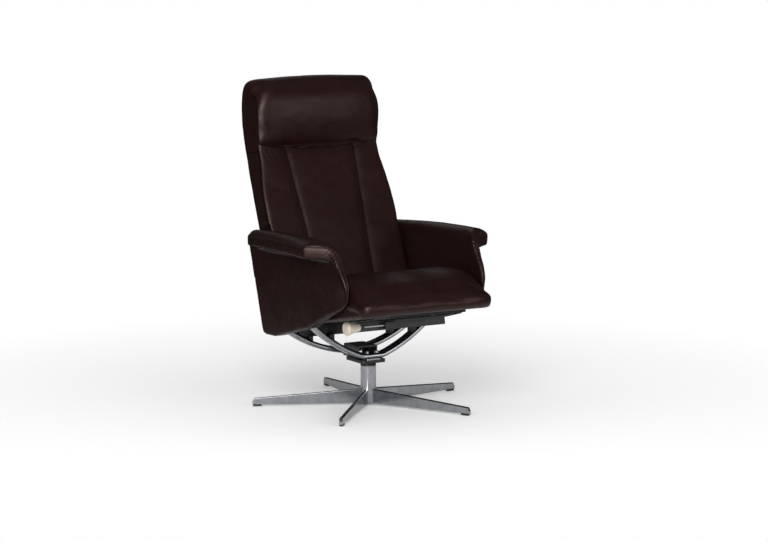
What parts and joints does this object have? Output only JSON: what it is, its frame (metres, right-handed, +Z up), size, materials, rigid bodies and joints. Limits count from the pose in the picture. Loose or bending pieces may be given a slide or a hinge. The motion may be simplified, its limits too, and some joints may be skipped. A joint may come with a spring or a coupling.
{
  "type": "recliner armchair",
  "caption": "High-backed leather lounge armchair that swivels on a star base with flat blade legs and reclines, with rolled arms and a knob under the seat.",
  "frame": {"origin": "the point on the floor under the swivel column, on the swivel axis", "axes": "+Z up along the swivel axis; the chair faces -Y; +X is the sitter's left"},
  "size_m": [0.7201, 0.8298, 1.0561],
  "materials": {
    "polished_chrome": "mirror-polished chrome plating",
    "black_plastic": "moulded black plastic",
    "bearing_plastic": "natural acetal",
    "black_steel": "satin black powder coat",
    "grey_steel": "satin dark grey powder coat",
    "bright_steel": "zinc-plated steel",
    "pale_wood": "pale lacquered beech",
    "plywood": "bare plywood",
    "black_board": "board stained black",
    "dark_leather": "very dark brown smooth leather"
  },
  "bodies": {
    "base": {"base_column": "polished_chrome", "base_leg_1": "polished_chrome", "base_leg_2": "polished_chrome", "base_leg_3": "polished_chrome", "base_leg_4": "polished_chrome", "base_leg_5": "polished_chrome", "floor_glides": "black_plastic", "column_collar": "black_plastic", "column_foot": "bright_steel", "thrust_washer": "bearing_plastic", "lower_bush": "bearing_plastic", "upper_bush": "bearing_plastic"},
    "chassis": {"swivel_spindle": "bright_steel", "swivel_plate": "black_steel", "front_spacer": "bright_steel", "mechanism_housing": "grey_steel", "housing_cover": "grey_steel", "cradle_bar_front": "polished_chrome", "cradle_bar_rear": "polished_chrome", "clamp_bolts": "bright_steel", "clamp_nuts": "bright_steel", "guide_rail_right": "black_steel", "guide_rail_left": "black_steel", "cross_rail_front": "black_steel", "cross_rail_rear": "black_steel", "rail_saddles": "black_steel", "arm_bracket_right": "black_steel", "arm_bracket_left": "black_steel", "arm_board_right": "black_board", "arm_board_left": "black_board", "bracket_bolts": "bright_steel", "arm_right": "dark_leather", "arm_left": "dark_leather", "rod_guide": "black_steel", "tension_block": "black_steel"},
    "knob": {"tension_knob": "pale_wood", "knob_rod": "bright_steel"},
    "seat": {"seat_board": "black_board", "seat_runner_right": "black_steel", "seat_runner_left": "black_steel", "glide_shoes": "black_plastic", "hinge_lug_right": "black_steel", "hinge_lug_left": "black_steel", "hip_pins": "bright_steel", "seat_cushion": "dark_leather"},
    "back": {"back_shell": "plywood", "back_cushion": "dark_leather", "back_cover": "dark_leather", "headrest": "dark_leather", "hinge_plate_right": "black_steel", "hinge_plate_left": "black_steel"}
  },
  "joints": [
    {"name": "swivel", "type": "hinge", "parent": "base", "child": "chassis", "pos_m": [0, 0, 0], "axis": [0, 0, 1], "continuous": true},
    {"name": "seat_glide", "type": "slide", "parent": "chassis", "child": "seat", "axis": [0, -0.9833, 0.1822], "range_m": [0, 0.055]},
    {"name": "recline", "type": "hinge", "parent": "seat", "child": "back", "pos_m": [0, 0.182, 0.378], "axis": [-1, 0, 0], "range_deg": [0, 22]},
    {"name": "knob_turn", "type": "hinge", "parent": "chassis", "child": "knob", "pos_m": [0, -0.2185, 0.29875], "axis": [1, 0, 0], "range_deg": [-360, 360]}
  ],
  "couplings": [
    {"joint": "seat_glide", "follows": "recline", "m_per_rad": 0.14323}
  ]
}
